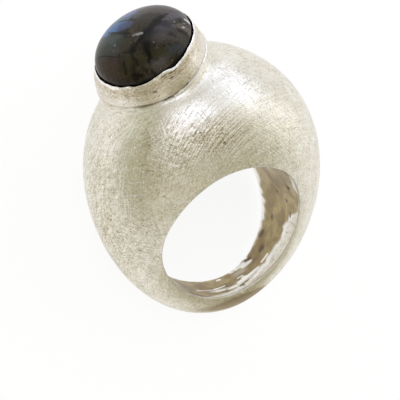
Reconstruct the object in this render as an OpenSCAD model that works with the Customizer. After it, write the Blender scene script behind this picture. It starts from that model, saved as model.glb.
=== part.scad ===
// A dress ring with a domed stone. The band, the dome and the cup that holds the
// stone are one solid casting, and the stone is a separate cabochon set in the cup.
// The ring is drawn upright, with the finger hole along Y, the stone on top and the
// fuller shoulder at +X. It is then laid on its back, as it rests by itself.

/* [Finger hole] */
// Inside diameter of the finger hole
finger_hole_d = 17.4; // [16:0.2:20]

/* [Band and dome] */
// Radius from the middle of the finger at which each cross-section is widest
section_root_r = 7.8; // [6:0.1:7.9]

/* [Setting] */
// Radius of the neck where it rises out of the dome
neck_r = 6.7; // [6.6:0.1:7.2]
// Height of the neck band up to the ledge under the cup
neck_h = 0.8; // [0.6:0.1:1.6]
// Height of the cup wall above the ledge
cup_h = 2.6; // [1.8:0.1:2.8]
// Width of the ledge that the cup stands on
ledge_w = 0.1; // [0.1:0.05:0.4]
// Outside radius of the cup at its rim
rim_r = 6.05; // [6:0.05:6.4]
// Thickness of the rim that is pressed over the stone
rim_w = 0.25; // [0.2:0.05:0.5]
// How far the foot of the cup lies beside the middle of the stone
wall_skew = 0.37; // [0:0.01:0.5]
// Lean of the stone towards the front, in degrees
lean_front = 9.9; // [0:0.1:12]
// Lean of the stone towards the thinner shoulder, in degrees
lean_side = 11.6; // [0:0.1:14]

/* [Stone] */
// Height of the stone's dome above the rim
stone_dome_h = 2.95; // [2:0.05:3.6]
// Depth of the stone's seat below the rim
seat_depth = 2; // [1.4:0.1:2.2]
// Space left between the stone and its cup
stone_gap = 0.05; // [0.03:0.01:0.1]

/* [Hidden] */
hole_r = finger_hole_d / 2;

// Cross-sections round the finger, starting under the stone and going towards the
// fuller shoulder: angle, thickness of metal over the hole, half of the width front
// to back, squareness, where 2 is an ellipse and more is fuller at the corners, and
// how far the middle of the width lies behind the middle of the hole.
sections = [
    [0, 11.6, 9.7, 2.4, 0.6],
    [45, 10.0, 9.3, 2.1, 0.65],
    [90, 5.9, 6.6, 1.9, 0.75],
    [135, 3.1, 3.95, 2.2, 0.05],
    [180, 2.6, 2.7, 2.6, -0.55],
    [225, 2.8, 3.2, 2.2, -0.55],
    [270, 3.8, 4.4, 1.9, -0.15],
    [315, 7.6, 7.9, 2.1, 0.4],
];
METAL = 1;
HALF_WIDTH = 2;
SQUARENESS = 3;
MIDDLE = 4;
section_count = len(sections);
harmonics = section_count / 2;

// Facets round the finger and across each section
around_n = 84;
across_n = 26;

// Middle of the foot of the neck on the upright ring, and how far the neck is
// carried down into the dome behind, where the dome falls away
foot = [0.65, 0.95, 19.24];
neck_sink = 6;
neck_sink_r = neck_r + 0.6;

// Turn that lays the upright ring on its back, where it touches the table along the
// edge of the dome and at the foot of the band, and the shift that then puts the
// middle of its lowest side on the origin
rest_turn = [-65.9, -6, 180];
rest_shift = [1.06, 6.98, 5.88];

setting_h = neck_h + cup_h;
ledge_r = neck_r - ledge_w;
seat_r = rim_r - rim_w;
stone_r = seat_r - stone_gap;

// Discs that the cup wall is stretched over: radius, share of the skew, and height
// above the foot of the neck
wall_discs = [
    [ledge_r, 1, neck_h],
    [ledge_r - 0.04, 1, neck_h + 0.23 * cup_h],
    [ledge_r - 0.13, 0.75, neck_h + 0.42 * cup_h],
    [rim_r + 0.28, 0.6, neck_h + 0.62 * cup_h],
    [rim_r + 0.12, 0.25, neck_h + 0.81 * cup_h],
    [rim_r, 0, setting_h],
];
disc_h = 0.01;

function total(list, i = 0) = i < len(list) ? list[i] + total(list, i + 1) : 0;

// Weight of one section at an angle away from it: 1 there and 0 at every other
// section, with a smooth swing between, so that the outline has no corners
function weight(angle) =
    (1 + 2 * total([for (k = [1:harmonics - 1]) cos(k * angle)]) + cos(harmonics * angle))
    / section_count;

function around(column, angle) =
    total([for (s = sections) s[column] * weight(angle - s[0])]);

function power(value, exponent) = sign(value) * pow(abs(value), exponent);

// A point of a section, from its front edge at across = -90 to its back edge at 90
function outline(angle, across) =
    let (bend = 2 / around(SQUARENESS, angle))
    let (root_to_top = hole_r + around(METAL, angle) - section_root_r)
    let (r = section_root_r + root_to_top * power(cos(across), bend))
    let (y = around(MIDDLE, angle) + around(HALF_WIDTH, angle) * power(sin(across), bend))
    [r * sin(angle), y, r * cos(angle)];

// The band and dome as one closed skin, whose inner side lies inside the finger hole
module dome_skin() {
    row = across_n + 1;
    points = [for (i = [0:around_n - 1]) for (j = [0:across_n])
        outline(i * 360 / around_n, -90 + j * 180 / across_n)];
    faces = [for (i = [0:around_n - 1]) for (j = [0:across_n])
        let (next_i = (i + 1) % around_n)
        let (next_j = (j + 1) % row)
        [i * row + j, i * row + next_j, next_i * row + next_j, next_i * row + j]];
    polyhedron(points, faces, convexity = 6);
}

// Puts a shape that is drawn about Z on the axis of the setting
module on_setting() {
    translate(foot) rotate([lean_front, -lean_side, 0]) children();
}

// A thin disc whose top is at a height over the foot of the neck
module disc(radius, skew_share, height) {
    translate([-wall_skew * skew_share, 0, height - disc_h])
        cylinder(h = disc_h, r = radius, $fn = 96);
}

// Neck, which widens downwards inside the dome, and the cup on its ledge
module setting_blank() {
    on_setting() {
        hull() {
            disc(neck_sink_r, 1, -neck_sink);
            disc(neck_r, 1, 0);
            disc(neck_r, 1, neck_h);
        }
        hull() for (d = wall_discs) disc(d[0], d[1], d[2]);
    }
}

module finger_hole() {
    rotate([90, 0, 0]) cylinder(h = 40, r = hole_r, center = true, $fn = 128);
}

module stone_seat() {
    on_setting() translate([0, 0, setting_h - seat_depth])
        cylinder(h = seat_depth + 1, r = seat_r, $fn = 96);
}

module laid_down() {
    translate(rest_shift) rotate(rest_turn) children();
}

module ring_body() {
    color("#cdc8b4") laid_down() difference() {
        union() {
            dome_skin();
            setting_blank();
        }
        finger_hole();
        stone_seat();
    }
}

// Cabochon with a flat base, a short straight girdle and a low domed top
module stone() {
    girdle_h = seat_depth - stone_gap;
    dome = [for (t = [0:6:90]) [stone_r * cos(t), girdle_h + stone_dome_h * sin(t)]];
    color("#3f3d37") laid_down() on_setting()
        translate([0, 0, setting_h - seat_depth + stone_gap])
            rotate_extrude($fn = 96) polygon(concat([[0, 0], [stone_r, 0]], dome));
}

ring_body();
stone();
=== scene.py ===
# %% [markdown]
# # A dress ring in brushed silver with a dark cabochon
# The ring is a chunky dome of silver. A thin shank grows into a wide, deep dome, and a short
# neck on top carries a cup. A round, low-domed stone sits in the cup, held by its thin rim.
# The lesson makes two pieces: the silver, which is one solid, and the stone. The packed ring
# has both as plain solids. Each piece here follows one of them and adds what a hand leaves.

# %% Load the packed ring
import math

import bpy
import numpy as np
from mathutils import Matrix, Vector, noise


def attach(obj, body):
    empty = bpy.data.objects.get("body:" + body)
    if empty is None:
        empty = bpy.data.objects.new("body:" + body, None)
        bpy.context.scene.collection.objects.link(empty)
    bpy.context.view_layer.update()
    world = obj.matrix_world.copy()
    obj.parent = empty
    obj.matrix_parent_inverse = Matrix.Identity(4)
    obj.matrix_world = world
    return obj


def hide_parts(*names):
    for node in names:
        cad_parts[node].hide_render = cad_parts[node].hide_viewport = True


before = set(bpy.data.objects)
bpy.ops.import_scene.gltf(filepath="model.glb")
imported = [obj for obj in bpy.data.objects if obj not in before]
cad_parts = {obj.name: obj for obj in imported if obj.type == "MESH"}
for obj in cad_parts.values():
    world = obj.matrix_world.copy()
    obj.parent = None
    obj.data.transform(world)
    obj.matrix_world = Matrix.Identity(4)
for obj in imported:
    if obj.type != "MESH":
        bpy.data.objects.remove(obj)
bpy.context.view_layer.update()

# %% [markdown]
# ## The ring's own frame
# A jeweller thinks of a ring standing up, with the finger hole along Y and the stone on top,
# but off the finger the real one lies on its back. The finished objects could be turned, but
# a pattern on them would turn as well. So every shape is worked out upright, in millimetres,
# and one function lays its points down and turns them into metres.

# %% Upright frame and the turn that lays it down
MM = 0.001
REST_TURN = (-65.9, -6.0, 180.0)   # degrees about X, then Y, then Z
REST_SHIFT = np.array([1.06, 6.98, 5.88])


def turn(axis, degrees):
    return np.array(Matrix.Rotation(math.radians(degrees), 3, axis))


LAID = turn("Z", REST_TURN[2]) @ turn("Y", REST_TURN[1]) @ turn("X", REST_TURN[0])


def lay_down(points):
    return (np.asarray(points) @ LAID.T + REST_SHIFT) * MM


print("the stone end points along", np.round(LAID @ [0, 0, 1], 2))

# %% [markdown]
# ## Cross-sections round the finger
# The dome and the shank are one swelling form. It could be sculpted, but then it would drift
# away from the packed ring. Eight cross-sections describe it instead, as on a wax carver's
# sheet: how thick the metal is over the finger, how wide it is front to back, and how square
# its outline is. A sum of cosines swings smoothly from one to the next.

# %% Sizes of the silver, in millimetres
HOLE_R = 8.7
ROOT_R = 7.8
SECTIONS = np.array([
    # angle, metal, half width, squareness, middle of the width behind the hole's middle
    [0, 11.6, 9.7, 2.4, 0.60],
    [45, 10.0, 9.3, 2.1, 0.65],
    [90, 5.9, 6.6, 1.9, 0.75],
    [135, 3.1, 3.95, 2.2, 0.05],
    [180, 2.6, 2.7, 2.6, -0.55],
    [225, 2.8, 3.2, 2.2, -0.55],
    [270, 3.8, 4.4, 1.9, -0.15],
    [315, 7.6, 7.9, 2.1, 0.40],
])
METAL, HALF_WIDTH, SQUARENESS, MIDDLE = 1, 2, 3, 4


def around(column, angle):
    """A column of the table at any angle round the finger, in radians."""
    away = np.asarray(angle)[..., None] - np.radians(SECTIONS[:, 0])
    swing = 1 + 2 * sum(np.cos(k * away) for k in (1, 2, 3)) + np.cos(4 * away)
    return swing @ SECTIONS[:, column] / len(SECTIONS)


print("metal over the finger at 20 degrees:", round(float(around(METAL, math.radians(20))), 2))

# %% [markdown]
# ## The skin of the band
# Each cross-section is a closed loop: the swelling outside, then straight back through the
# finger hole. All the loops have the same number of points, evenly spaced, so that a point
# on one has its neighbour on the next.

# %% Loops round the cross-sections
LOOP_N = 1024      # points on each loop
AROUND_N = 576     # loops round the finger
OUTLINE_N = 801    # points on the outside of a loop, before they are spaced evenly


def section_loops(angles):
    """Loops of points (r, y), and the share of its length at which the outside of each ends."""
    root_to_top = HOLE_R + around(METAL, angles) - ROOT_R
    bend = 2 / around(SQUARENESS, angles)
    edge = np.arccos(((HOLE_R - ROOT_R) / root_to_top) ** (1 / bend))
    across = edge[:, None] * np.sin(np.linspace(-np.pi / 2, np.pi / 2, OUTLINE_N))
    r = ROOT_R + root_to_top[:, None] * np.cos(across) ** bend[:, None]
    y = np.sign(across) * np.abs(np.sin(across)) ** bend[:, None]
    y = around(HALF_WIDTH, angles)[:, None] * y + around(MIDDLE, angles)[:, None]
    loops = np.empty((len(angles), LOOP_N, 2))
    share, length = np.empty((2, len(angles)))
    for i in range(len(angles)):
        path = np.column_stack([np.append(r[i], r[i, 0]), np.append(y[i], y[i, 0])])
        run = np.append(0, np.cumsum(np.hypot(*np.diff(path, axis=0).T)))
        share[i], length[i] = run[-2] / run[-1], run[-1]
        even = np.arange(LOOP_N) / LOOP_N * run[-1]
        loops[i] = np.column_stack([np.interp(even, run, column) for column in path.T])
    return loops, share, length


angles = np.arange(AROUND_N) * 2 * np.pi / AROUND_N
loops, outside_share, loop_length = section_loops(angles)
outside_mm = outside_share * loop_length
print("loop lengths from", loop_length.min().round(1), "to", loop_length.max().round(1), "mm")

# %% [markdown]
# Nothing on a hand-made ring is the same all the way round. Three small functions say how a
# measure changes: one swings through a few key values, one wavers as a hand tool does, and
# one swells at a place and dies away beside it.

# %% Helpers for uneven measures
def swing(azimuth, *keys):
    """A smooth closed curve through (degrees, value) keys."""
    keys = sorted(keys)
    degrees = np.array([k[0] for k in keys], float)
    values = np.array([k[1] for k in keys], float)
    at = np.mod(np.degrees(azimuth), 360)
    degrees = np.concatenate([[degrees[-1] - 360], degrees, [degrees[0] + 360]])
    values = np.concatenate([[values[-1]], values, [values[0]]])
    i = np.clip(np.searchsorted(degrees, at, side="right") - 1, 0, len(keys))
    t = (at - degrees[i]) / (degrees[i + 1] - degrees[i])
    return values[i] + (values[i + 1] - values[i]) * (3 * t ** 2 - 2 * t ** 3)


def hand(azimuth, scale, seed):
    """An uneven line round a ring, as a hand tool leaves it, from about -1 to 1."""
    return np.array([
        noise.noise(Vector((math.cos(a) * scale, math.sin(a) * scale, seed * 7.3))) * 1.6
        for a in azimuth
    ])


def hump(distance, width, power=2):
    """1 at no distance, about a third at the width, and next to nothing at twice the width."""
    return np.exp(-(distance / width) ** power)


print("half way along a swing from 0 to 1:", float(swing(math.radians(45), (0, 0), (90, 1))))

# %% [markdown]
# A casting has no razor edges. A Bevel modifier would round all of them alike, so each loop
# is blurred along its own length instead: most at the back edge of the hole, a little at the
# foot of the shank, and hardly at all in front, where the real edge is still crisp.

# %% Round the worn edges
CRISP, WORN = 0.13, 0.65                   # how far the blur reaches, in millimetres
FRONT_REACH, HOLE_REACH, BACK_REACH = 1.3, 2.4, 1.0
LUMP_AT, LUMP_SPREAD = 148, 13             # a small lump on the back edge, in degrees
LUMP_H, LUMP_WIDTH = 0.3, 2.2


def soften(loops, length, radius):
    """Rounds the corners of closed loops by a blur along them."""
    waves = np.fft.rfft(loops, axis=1)
    k = np.arange(waves.shape[1])
    keep = np.exp(-0.5 * (2 * np.pi * k[None] / length[:, None] * radius) ** 2)
    return np.fft.irfft(waves * keep[..., None], LOOP_N, axis=1)


round_front = swing(angles, (0, 0), (95, 0), (125, 0.06), (180, 0.15), (215, 0.2), (245, 0.1), (270, 0))
round_back = swing(angles, (0, 0.15), (60, 0.5), (90, 1), (150, 1), (200, 0.7), (270, 0.5), (320, 0.2))
run = np.arange(LOOP_N) / LOOP_N * loop_length[:, None]
to_front = np.minimum(run, loop_length[:, None] - run)
to_back = np.abs(run - outside_mm[:, None])
front_reach = np.where(run > outside_mm[:, None], HOLE_REACH, FRONT_REACH)
worn = np.maximum(round_front[:, None] * hump(to_front, front_reach),
                  round_back[:, None] * hump(to_back, BACK_REACH))
crisp = soften(loops, loop_length, CRISP)
loops = crisp + (soften(loops, loop_length, WORN) - crisp) * worn[..., None]
lump = LUMP_H * hump(np.degrees(angles) - LUMP_AT, LUMP_SPREAD)
loops[..., 1] += lump[:, None] * hump(to_back, LUMP_WIDTH)
print("most wear in front", worn[:, 0].max().round(2), "and anywhere", worn.max().round(2))

# %% [markdown]
# Every second loop becomes a column of vertices. A Remesh modifier would spread its faces
# evenly, but here they lie closer together at the two edges of the finger hole, where the
# surface bends most, so the edges are round and the calm middle needs no more faces.

# %% A lattice of vertices from the loops
OUTER_N, BORE_N = 104, 40    # steps over the outside, and through the finger hole
LOOP_ROWS = OUTER_N + BORE_N
AROUND_STEP = 2              # every second loop becomes a column of the lattice
CROWDING = 0.55              # 0 would space the steps evenly


def crowd_ends(n):
    """Steps from 0 to 1 that lie closer together at both ends."""
    t = np.arange(n) / n
    return t - CROWDING * np.sin(2 * np.pi * t) / (2 * np.pi)


def steps_round(i):
    """Where loop i has its vertices: 0 to 1 over the outside, and on through the hole."""
    share = outside_share[i]
    return np.concatenate([outer_s, 1 + bore_s * (1 - share) / share])


def point_at(angle_row, s):
    """Points on the skin at row numbers and shares of the outside, 0 in front and 1 behind."""
    row = np.mod(angle_row, AROUND_N)
    low = np.floor(row).astype(int) % AROUND_N
    high = (low + 1) % AROUND_N
    mix = (row - np.floor(row))[..., None]

    def on(i):
        at = s * outside_share[i] * LOOP_N
        a = np.floor(at).astype(int)
        f = (at - a)[..., None]
        return loops[i, a % LOOP_N] * (1 - f) + loops[i, (a + 1) % LOOP_N] * f

    r, y = np.moveaxis(on(low) * (1 - mix) + on(high) * mix, -1, 0)
    angle = row * 2 * np.pi / AROUND_N
    return np.stack([r * np.sin(angle), y, r * np.cos(angle)], -1)


outer_s, bore_s = crowd_ends(OUTER_N), crowd_ends(BORE_N)
columns = np.arange(0, AROUND_N, AROUND_STEP)
lattice = np.array([point_at(np.full(LOOP_ROWS, float(i)), steps_round(i)) for i in columns])
print("lattice:", lattice.shape[0], "columns of", lattice.shape[1], "points")

# %% [markdown]
# ## The seat of the neck on the dome
# On the real ring the neck grows out of the dome without a seam. A boolean would join the two
# with a ragged edge, and a lattice that runs round the finger can't carry a round neck. So a
# patch of it is cut out under the setting. Spokes run from the patch's edge to the neck,
# slide up its side in a hollow curve, and go on as rings: up the wall, over the rim and down
# to the seat.

# %% The setting's own axis
FOOT = np.array([0.65, 0.95, 19.24])    # middle of the foot of the neck
LEAN_FRONT, LEAN_SIDE = 9.9, 11.6       # degrees
SETTING_H = 3.4                         # from the foot of the neck to the rim
SETTING = turn("Y", -LEAN_SIDE) @ turn("X", LEAN_FRONT)

# The wall isn't quite square to the stone: lower down it lies further to the left.
WALL_HEIGHTS = [0.4, 0.9, 1.4, 1.9, 2.4, 2.9, 3.3]
WALL_R = [6.62, 6.60, 6.56, 6.47, 6.33, 6.17, 6.05]
WALL_LEFT = [0.37, 0.37, 0.36, 0.28, 0.23, 0.10, 0.0]


def from_setting(radius, azimuth, height, left=0.0):
    radius, azimuth, height, left = np.broadcast_arrays(radius, azimuth, height, left)
    local = np.stack([radius * np.cos(azimuth) - left, radius * np.sin(azimuth), height], -1)
    return local @ SETTING.T + FOOT


def on_wall(extra, azimuth, height):
    """Points round the wall or the neck, a little outside it or inside it."""
    return from_setting(np.interp(height, WALL_HEIGHTS, WALL_R) + extra, azimuth, height,
                        np.interp(height, WALL_HEIGHTS, WALL_LEFT))


def to_setting(points):
    return (points - FOOT) @ SETTING


print("at half its height the wall's radius is", np.interp(1.7, WALL_HEIGHTS, WALL_R).round(2), "mm")

# %% Spokes from the patch's edge to the neck
NECK_OUT = 0.08          # how far the neck stands out from the wall above it
PATCH_COLUMNS = 31       # columns of the lattice on either side of the middle of the patch
PATCH_FRONT, PATCH_BACK = 9, OUTER_N - 9
SPOKE_EVENNESS = 0.75    # 1 spaces the spokes evenly, and 0 keeps them straight


def inside_dome(points):
    """Below 0 inside the band's outer form and above 0 outside it."""
    x, y, z = np.moveaxis(points, -1, 0)
    angle = np.arctan2(x, z)
    square = around(SQUARENESS, angle)
    root_to_top = HOLE_R + around(METAL, angle) - ROOT_R
    rise = np.maximum(np.hypot(x, z) - ROOT_R, 0) / root_to_top
    side = np.abs(y - around(MIDDLE, angle)) / around(HALF_WIDTH, angle)
    return rise ** square + side ** square - 1


def leaves_dome(out):
    """Height at which each spoke, this far outside the wall, comes out of the dome."""
    heights = np.linspace(-9, 2, 1101)
    probe = on_wall(np.asarray(out)[..., None], azimuth[:, None], heights)
    covered = inside_dome(probe) < 0
    return heights[covered.shape[1] - 1 - np.argmax(covered[:, ::-1], axis=1)]


side_rows = np.arange(PATCH_FRONT, PATCH_BACK)
rim_columns = np.arange(-PATCH_COLUMNS, PATCH_COLUMNS)
edge_cells = (
    [(PATCH_COLUMNS, int(j)) for j in side_rows]
    + [(int(-i), PATCH_BACK) for i in rim_columns]
    + [(-PATCH_COLUMNS, int(j)) for j in side_rows + 1][::-1]
    + [(int(i), PATCH_FRONT) for i in rim_columns]
)
edge_rows = np.array([c[0] * AROUND_STEP for c in edge_cells], float)
edge_s = np.array([np.append(outer_s, 1)[c[1]] for c in edge_cells])
SPOKE_N = len(edge_cells)
edge_local = to_setting(point_at(edge_rows, edge_s))
azimuth = np.unwrap(np.arctan2(edge_local[:, 1], edge_local[:, 0]))
even = azimuth[0] + np.arange(SPOKE_N) * 2 * np.pi / SPOKE_N
even += (azimuth - even).mean()
azimuth += SPOKE_EVENNESS * (even - azimuth)
meet_height = leaves_dome(NECK_OUT)
meet = on_wall(NECK_OUT, azimuth, meet_height)
print("spokes:", SPOKE_N, "neck meets the dome at heights", meet_height.min(), "to", meet_height.max())

# %% [markdown]
# The fillet where the neck grows out of the dome was filed by hand. It is tight on the left,
# and wide and soft on the right, so one radius can't describe it. A few key widths round the
# neck do, joined by smooth swings, and the same function shapes the rim and the wall.

# %% Widths that change round the setting
fillet_out = swing(azimuth, (0, 1.3), (60, 1.0), (120, 0.9), (180, 0.5), (240, 0.5), (285, 0.8), (330, 1.2))
fillet_up = swing(azimuth, (0, 1.1), (60, 1.2), (120, 1.0), (180, 0.5), (240, 0.4), (285, 0.6), (330, 0.9))
print("fillet reaches out from", fillet_out.min().round(2), "to", fillet_out.max().round(2), "mm")

# %% Where the fillet leaves the dome
def find_on_dome(away):
    """Row numbers and shares of the dome's points at a distance outside the neck."""
    places = on_wall(NECK_OUT + away, azimuth, leaves_dome(NECK_OUT + away))
    rows = np.arctan2(places[:, 0], places[:, 2]) / (2 * np.pi) * AROUND_N
    all_shares = np.linspace(0, 1, 1201)
    shares = np.empty(SPOKE_N)
    for i in range(SPOKE_N):
        y = point_at(np.full(all_shares.size, rows[i]), all_shares)[:, 1]
        shares[i] = np.interp(places[i, 1], y, all_shares)
    return rows, shares


leave_row, leave_s = find_on_dome(fillet_out)
leave = point_at(leave_row, leave_s)
print("fillet leaves the dome at y", leave[:, 1].min().round(2), "to", leave[:, 1].max().round(2))

# %% Rings from the patch's edge to the top of the neck
PATCH_STEPS, FILLET_STEPS = 18, 9
FILLET_TOP = 0.16    # the fillet ends at least this far below the ledge
PATCH_EASE = 1.35    # above 1, the rings lie closer together towards the neck
patch_shares = 1 - (1 - np.linspace(0, 1, PATCH_STEPS + 1)[1:]) ** PATCH_EASE


def slide(t):
    """Row numbers and shares of the spokes' points at a share of the way over the patch."""
    return edge_rows + (leave_row - edge_rows) * t, edge_s + (leave_s - edge_s) * t


rings = [point_at(*slide(t)) for t in patch_shares]
ledge = swing(azimuth, (0, 0.75), (90, 0.75), (180, 1.1), (224, 1.08), (242, 0.92), (256, 0.74), (280, 0.75))
up_neck = on_wall(NECK_OUT, azimuth, np.minimum(meet_height + fillet_up, ledge - FILLET_TOP))
for t in np.linspace(0, 1, FILLET_STEPS + 1)[1:]:
    rings.append(leave * (1 - t) ** 2 + 2 * meet * t * (1 - t) + up_neck * t ** 2)
print(len(rings), "rings up to the neck")

# %% [markdown]
# ## The cup
# The cup stands on the neck behind a fine groove. Its wall bulges a little, as sheet that was
# pushed over a stone does, and its rim is burnished thin and uneven against the stone. A
# Screw modifier would turn a cup that is too true, so this one is built of rings that waver.
# Inside the rim a narrow gap runs down to the seat, with painted shade in it.

# %% Uneven lines round the setting
rim_rise = swing(azimuth, (0, 0), (60, 0.06), (120, -0.05), (160, 0.10), (188, 0.20), (204, 0.06),
                 (213, 0), (219, 0.07), (226, -0.07), (240, -0.06), (251, 0.16), (261, 0.26),
                 (274, -0.10), (300, 0.05), (330, -0.04))
rim_rise += 0.02 * hand(azimuth, 9, 2)
rim_in = 0.035 * hand(azimuth, 2.2, 3) + 0.025 * hand(azimuth, 9, 4)
wall_dent = 0.035 * hand(azimuth, 1.3, 5) + 0.014 * hand(azimuth, 7, 6)
print("rim rises from", rim_rise.min().round(2), "to", rim_rise.max().round(2), "mm")

# %% Neck, groove, wall, rim and seat
GROOVE = [  # height over the ledge, and how far out from the wall
    (-0.14, 0.08), (-0.08, 0.06), (-0.04, 0.0), (0.0, -0.08), (0.04, -0.09), (0.08, -0.05), (0.13, -0.01),
]
WALL_TOP, WALL_STEPS = 3.24, 14
SEAT_H = 1.4             # the stone's seat, over the foot of the neck
NECK_STEPS = 0.4, 0.8    # shares of the way from the fillet to the groove
LIP = [  # radius, height, and share of the rim's unevenness
    (6.03, 3.31, 1.0), (6.00, 3.36, 1.0), (5.965, 3.385, 1.0), (5.93, 3.385, 1.0), (5.90, 3.36, 1.0),
    (5.88, 3.29, 0.9), (5.865, 3.18, 0.6), (5.85, 2.95, 0.2), (5.83, 2.6, 0.0), (5.815, 2.0, 0.0),
    (5.80, 1.5, 0.0), (5.78, 1.42, 0.0), (5.70, SEAT_H, 0.0), (5.2, SEAT_H, 0.0), (4.0, SEAT_H, 0.0),
    (2.5, SEAT_H, 0.0), (1.2, SEAT_H, 0.0),
]
neck_top = to_setting(up_neck)[:, 2]
for share in NECK_STEPS:
    rings.append(on_wall(NECK_OUT, azimuth, neck_top + (ledge + GROOVE[0][0] - neck_top) * share))
for up, out in GROOVE:
    rings.append(on_wall(out, azimuth, ledge + up))
wall_foot = ledge + GROOVE[-1][0]
for t in np.linspace(0, 1, WALL_STEPS + 1)[1:]:
    bulge = 4 * t * (1 - t)
    rings.append(on_wall(bulge * wall_dent + t ** 3 * rim_in, azimuth,
                         wall_foot + (WALL_TOP - wall_foot) * t + t ** 2 * rim_rise))
for radius, height, share in LIP:
    rings.append(from_setting(radius + share * rim_in, azimuth, height + share * rim_rise))
rings = np.array(rings)
print("cup done:", len(rings), "rings of", SPOKE_N)

# %% [markdown]
# The lattice and the rings have to become one closed skin. Joining two objects would leave
# doubled points along the seam. So both share the points on the patch's edge from the start:
# the cells of the lattice inside the patch are left out, and the rings begin on its border.

# %% Join the lattice and the rings into one closed skin
def vertex(c, j):
    return (c % len(columns)) * LOOP_ROWS + j % LOOP_ROWS


lattice_n = lattice.shape[0] * lattice.shape[1]
points = np.concatenate([lattice.reshape(-1, 3), rings.reshape(-1, 3), from_setting(0, np.zeros(1), SEAT_H)])
pole = len(points) - 1
patch_edge = np.array([vertex(*cell) for cell in edge_cells])
ring_rows = [patch_edge] + [lattice_n + r * SPOKE_N + np.arange(SPOKE_N) for r in range(len(rings))]
quads, on_setting_face = [], []
for c in range(len(columns)):
    in_patch_columns = (c + PATCH_COLUMNS) % len(columns) < 2 * PATCH_COLUMNS
    for j in range(LOOP_ROWS):
        if not (in_patch_columns and PATCH_FRONT <= j < PATCH_BACK):
            quads.append((vertex(c, j), vertex(c + 1, j), vertex(c + 1, j + 1), vertex(c, j + 1)))
            on_setting_face.append(False)
for r in range(len(ring_rows) - 1):
    low, high = ring_rows[r], ring_rows[r + 1]
    for k in range(SPOKE_N):
        n = (k + 1) % SPOKE_N
        quads.append((low[k], low[n], high[n], high[k]))
        on_setting_face.append(r >= PATCH_STEPS)
cap = [(ring_rows[-1][k], ring_rows[-1][(k + 1) % SPOKE_N], pole) for k in range(SPOKE_N)]
print("quads:", len(quads), "triangles:", 2 * len(quads) + len(cap))

# %% [markdown]
# ## Maps on the skin
# Scratches run along the metal, so they need to know the way along it. The skin gets a second
# map in millimetres: along the band one way and across it the other. An unwrap by hand would
# cut it into islands, while this one comes straight from the lattice. The neck and the cup
# have a map of their own, round and up.

# %% Map in millimetres
MAP_R, SETTING_MAP_R = 15.0, 6.7    # where each map is true to size, from its own axis
SETTING_MAP_AT = 200                # keeps the two maps apart
dome_map, setting_map = np.zeros((2, len(points), 2))
for c, i in enumerate(columns):
    rows = slice(c * LOOP_ROWS, (c + 1) * LOOP_ROWS)
    dome_map[rows, 0] = angles[i] * MAP_R
    dome_map[rows, 1] = steps_round(i) * outside_mm[i]
for t, ids in zip(patch_shares, ring_rows[1:]):
    rows, shares = slide(t)
    dome_map[ids, 0] = rows / AROUND_N * 2 * np.pi * MAP_R
    dome_map[ids, 1] = shares * np.interp(rows, np.arange(AROUND_N), outside_mm, period=AROUND_N)
climb = 0.0
for r in range(PATCH_STEPS, len(ring_rows)):
    ids = ring_rows[r]
    if r > PATCH_STEPS:
        climb += np.linalg.norm(points[ids] - points[ring_rows[r - 1]], axis=1).mean()
    setting_map[ids, 0] = azimuth * SETTING_MAP_R
    setting_map[ids, 1] = SETTING_MAP_AT + climb
setting_map[pole] = (0, SETTING_MAP_AT + climb)
print("from the fillet to the middle of the seat:", round(float(climb), 1), "mm")

# %% [markdown]
# ## Where the metal is bare, brown or dark
# The finger hole keeps the brown skin of the casting, but along its edges wheel and finger have rubbed the
# metal bare, and a painted highlight lies along these bare edges. These bands could be painted by hand on an
# image. Here a few key widths round the hole describe them, and every vertex gets a value that the finish
# reads later, so they stay sharp at any size.

# %% How far the bare metal reaches into the finger hole, in millimetres
cast_from_front = swing(angles, (0, 0.05), (62, 0.05), (72, 0.9), (84, 1.0), (92, 0.15), (106, 0.2),
                        (118, 1.9), (128, 2.5), (140, 2.0), (152, 1.65), (165, 1.4), (182, 1.1),
                        (200, 0.8), (220, 0.3), (245, 0.05))
cast_from_front *= 1 + 0.16 * hand(angles, 5, 11) + 0.12 * hand(angles, 14, 12)
cast_from_back = swing(angles, (0, 0.15), (50, 1.1), (80, 1.7), (120, 1.5), (150, 0.6), (180, 0.4),
                       (210, 0.5), (270, 0.3))
cast_from_back *= 1 + 0.2 * hand(angles, 6, 13) + 0.2 * hand(angles, 14, 14)
print("bare metal in the hole, in mm:", cast_from_front.max().round(1), cast_from_back.max().round(1))

# %% How bright the edges of the finger hole are, with their painted highlight, and how dirty
gleam_front = swing(angles, (62, 0), (72, 0.6), (83, 0.7), (92, 0.1), (106, 0.1), (118, 0.75),
                    (127, 0.75), (137, 0.45), (146, 0.5), (153, 0.95), (165, 1), (190, 0.8),
                    (215, 0.4), (240, 0))
gleam_front *= np.clip(0.9 + 0.4 * hand(angles, 12, 15), 0, 1)
gleam_lip = swing(angles, (85, 0), (108, 0.8), (130, 1), (190, 1), (215, 0.3), (235, 0))
gleam_back = swing(angles, (0, 0), (50, 0.5), (75, 1), (140, 1), (165, 0.6), (250, 0.3), (320, 0))
thin_dirt = swing(angles, (0, 0.45), (60, 0.45), (90, 0.45), (106, 0.3), (118, 0), (200, 0), (250, 0.35))
SKIN_FADE = 0.25                              # border between brown and bare, in millimetres
GLEAM_INSIDE, GLEAM_WIDTH = 0.33, 0.36        # a painted highlight lies just outside that border
LIP_GLEAM, LIP_WIDTH, DIRT_WIDTH = 0.55, 0.22, 0.1
bore_mask, bare_edge_and_highlight, edge_dirt = np.zeros((3, len(points)))
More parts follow.
